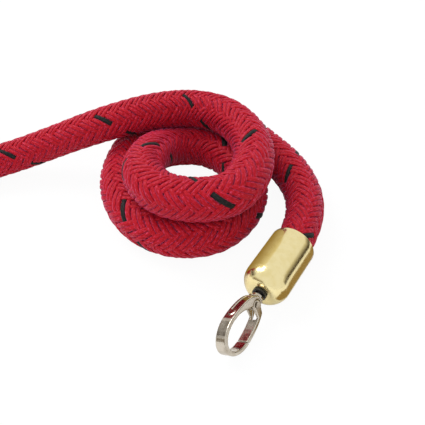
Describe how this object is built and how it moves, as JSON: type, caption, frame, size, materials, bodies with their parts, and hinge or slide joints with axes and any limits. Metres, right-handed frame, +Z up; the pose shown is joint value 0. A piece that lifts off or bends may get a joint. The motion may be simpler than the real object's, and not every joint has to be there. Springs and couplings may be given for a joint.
{
  "type": "barrier rope",
  "caption": "Soft braided barrier rope lying in a loose coil, with a domed metal end cap and a swivelling spring-gate snap hook at each end.",
  "frame": {"origin": "on the floor, midway between the two end fittings' bounding-box sides", "axes": "+Z up; both end fittings point along -Y, one at +X and one at -X; the rope's coil lies at +Y between them"},
  "size_m": [0.368, 0.4064, 0.0741],
  "materials": {
    "cap_brass": "polished, mirror bright",
    "hook_nickel": "polished nickel plate",
    "screw_steel": "plain steel",
    "washer_black": "matt black",
    "rope_red": "braided, soft sheen, with a black tracer yarn"
  },
  "bodies": {
    "rope_and_caps": {"rope": "rope_red", "end_cap_a": "cap_brass", "set_screw_a_1": "screw_steel", "set_screw_a_2": "screw_steel", "outer_washer_a": "washer_black", "inner_washer_a": "screw_steel", "end_cap_b": "cap_brass", "set_screw_b_1": "screw_steel", "set_screw_b_2": "screw_steel", "outer_washer_b": "washer_black", "inner_washer_b": "screw_steel"},
    "hook_a": {"hook_body_a": "hook_nickel", "collar_a": "hook_nickel", "swivel_nut_a": "screw_steel", "gate_pin_a": "hook_nickel", "gate_spring_a": "screw_steel"},
    "gate_a": {"gate_a": "hook_nickel"},
    "hook_b": {"hook_body_b": "hook_nickel", "collar_b": "hook_nickel", "swivel_nut_b": "screw_steel", "gate_pin_b": "hook_nickel", "gate_spring_b": "screw_steel"},
    "gate_b": {"gate_b": "hook_nickel"}
  },
  "joints": [
    {"name": "swivel_a", "type": "hinge", "parent": "rope_and_caps", "child": "hook_a", "pos_m": [0.165, 0.07275, 0.019], "axis": [0, -0.9945, -0.1045], "continuous": true},
    {"name": "gate_hinge_a", "type": "hinge", "parent": "hook_a", "child": "gate_a", "pos_m": [0.165, 0.06007, 0.01767], "axis": [-0.8829, 0.0491, -0.4669], "range_deg": [0, 25], "stiffness_Nm_per_rad": 0.06, "springref_deg": -34.38, "deforming": ["gate_spring_a"]},
    {"name": "swivel_b", "type": "hinge", "parent": "rope_and_caps", "child": "hook_b", "pos_m": [-0.165, -0.07225, 0.019], "axis": [0, -0.9945, -0.1045], "continuous": true},
    {"name": "gate_hinge_b", "type": "hinge", "parent": "hook_b", "child": "gate_b", "pos_m": [-0.165, -0.08493, 0.01767], "axis": [-1, 0, 0], "range_deg": [0, 25], "stiffness_Nm_per_rad": 0.06, "springref_deg": -34.38, "deforming": ["gate_spring_b"]}
  ]
}
